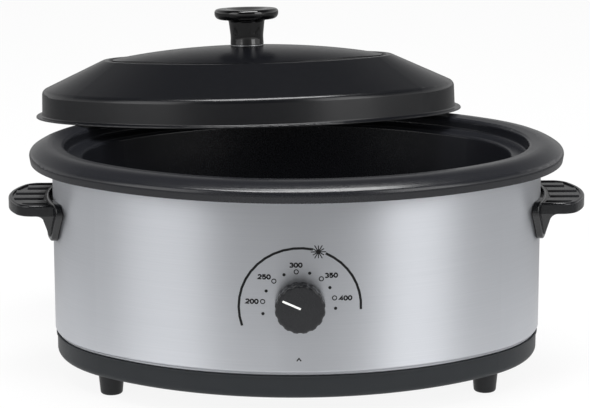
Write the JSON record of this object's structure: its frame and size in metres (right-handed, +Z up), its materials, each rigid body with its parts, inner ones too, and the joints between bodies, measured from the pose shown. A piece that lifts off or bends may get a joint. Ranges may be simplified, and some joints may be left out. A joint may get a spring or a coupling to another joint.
{
  "type": "electric roaster oven",
  "caption": "Oval countertop electric roaster oven: steel wrapper on a moulded base, lift-out enamelled cookwell with a rolled rim, lift-off domed lid, side handles and a front control knob.",
  "frame": {"origin": "on the table, under the centre of the oval housing, at the level of the feet's soles", "axes": "+X to the right along the housing's long axis, +Y to the back, +Z up; the control knob is on the -Y side"},
  "size_m": [0.4324, 0.398, 0.2561],
  "materials": {
    "brushed_wrapper": "horizontal brushing, satin",
    "base_plastic": "matte moulded plastic",
    "foot_plastic": "matte",
    "screw_steel": "zinc plated",
    "well_aluminium": "drawn aluminised sheet",
    "band_steel": "heat-tinted steel",
    "blanket_fibre": "needled glass fibre",
    "switch_plastic": "phenolic",
    "switch_brass": "turned brass",
    "handle_plastic": "semi-gloss phenolic",
    "knob_plastic": "matte phenolic",
    "pot_enamel": "charcoal enamel, gloss",
    "lid_enamel": "charcoal enamel, satin",
    "lid_knob_plastic": "gloss phenolic",
    "bushing_plastic": "moulded nylon"
  },
  "bodies": {
    "housing": {"outer_shell": "brushed_wrapper", "base_pan": "base_plastic", "cord_bushing": "bushing_plastic", "heating_well": "well_aluminium", "heating_band": "band_steel", "band_bolt": "screw_steel", "insulation_blanket": "blanket_fibre", "thermal_cutout": "switch_plastic", "thermostat_body": "switch_plastic", "thermostat_bracket": "screw_steel", "thermostat_spacer": "switch_brass", "thermostat_nut": "switch_brass", "right_handle": "handle_plastic", "left_handle": "handle_plastic", "foot_front_left": "foot_plastic", "foot_screw_front_left": "screw_steel", "foot_front_right": "foot_plastic", "foot_screw_front_right": "screw_steel", "foot_rear_left": "foot_plastic", "foot_screw_rear_left": "screw_steel", "foot_rear_right": "foot_plastic", "foot_screw_rear_right": "screw_steel", "right_handle_screw_front": "screw_steel", "right_handle_screw_rear": "screw_steel", "left_handle_screw_front": "screw_steel", "left_handle_screw_rear": "screw_steel"},
    "cookwell": {"cookwell": "pot_enamel"},
    "lid": {"lid_cover": "lid_enamel", "lid_washer": "screw_steel", "lid_knob": "lid_knob_plastic", "lid_screw": "screw_steel"},
    "control": {"control_knob": "knob_plastic", "thermostat_shaft": "screw_steel"}
  },
  "joints": [
    {"name": "cookwell_lift", "type": "slide", "parent": "housing", "child": "cookwell", "axis": [0, 0, 1], "range_m": [0, 0.13]},
    {"name": "lid_lift", "type": "slide", "parent": "cookwell", "child": "lid", "axis": [0, 0, 1], "range_m": [0, 0.15]},
    {"name": "temperature_turn", "type": "hinge", "parent": "housing", "child": "control", "pos_m": [0, -0.133, 0.0845], "axis": [0, -1, 0], "range_deg": [-157.5, 113]}
  ]
}
